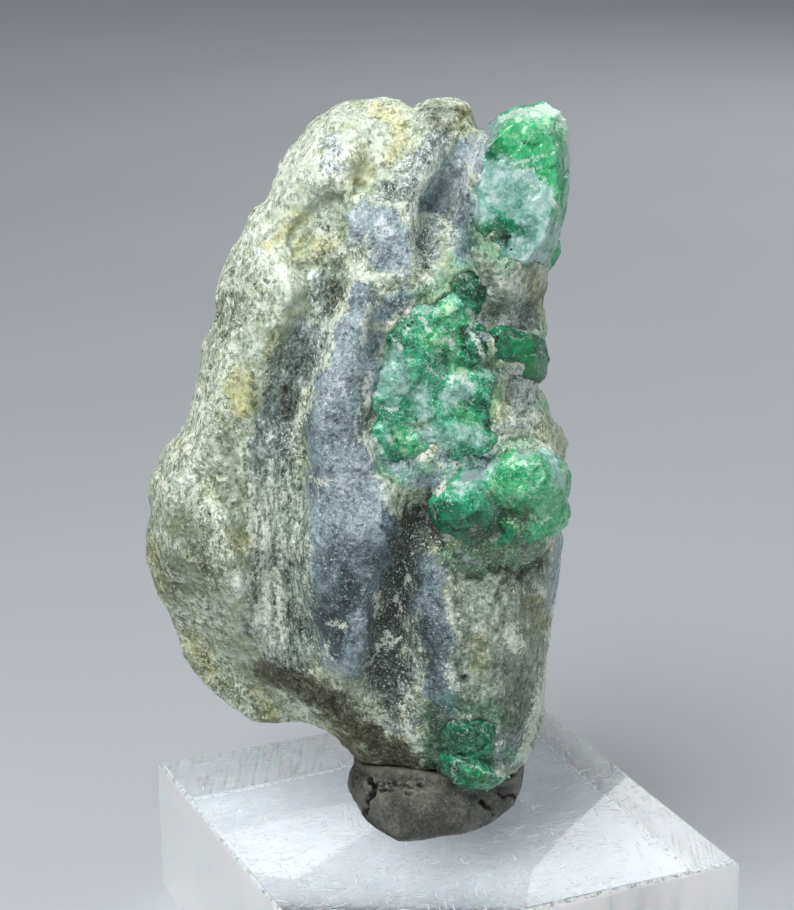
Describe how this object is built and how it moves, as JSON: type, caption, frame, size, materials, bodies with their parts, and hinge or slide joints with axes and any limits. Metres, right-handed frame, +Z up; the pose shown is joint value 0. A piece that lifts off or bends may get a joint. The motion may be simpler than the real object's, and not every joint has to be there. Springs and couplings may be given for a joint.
{
  "type": "emerald in matrix",
  "caption": "Mineral specimen: rough green emerald crystals grown in a slab of mica schist and quartz, standing upright in mounting putty on a clear acrylic display block",
  "frame": {"origin": "the centre of the acrylic block's underside, which is the flat face that the part rests on", "axes": "+Z up along the stone's length; X and Y along the block's sides; the stone's broad front face looks towards -Y, turned 24.3 degrees towards -X"},
  "size_m": [0.0328, 0.03, 0.059],
  "materials": {
    "schist": "rough broken schist and quartz with glinting mica",
    "emerald": "translucent green crystal with milky fractures",
    "putty": "soft dull grey, pressed by hand",
    "acrylic": "clear polished top, sawn frosted sides"
  },
  "bodies": {
    "root": {"matrix": "schist", "emerald_top_crystal": "emerald", "emerald_edge_chip": "emerald", "emerald_central_mass": "emerald", "emerald_dark_prism": "emerald", "emerald_nodule": "emerald", "emerald_tip_crystal": "emerald", "putty": "putty", "acrylic_block": "acrylic"}
  },
  "joints": []
}
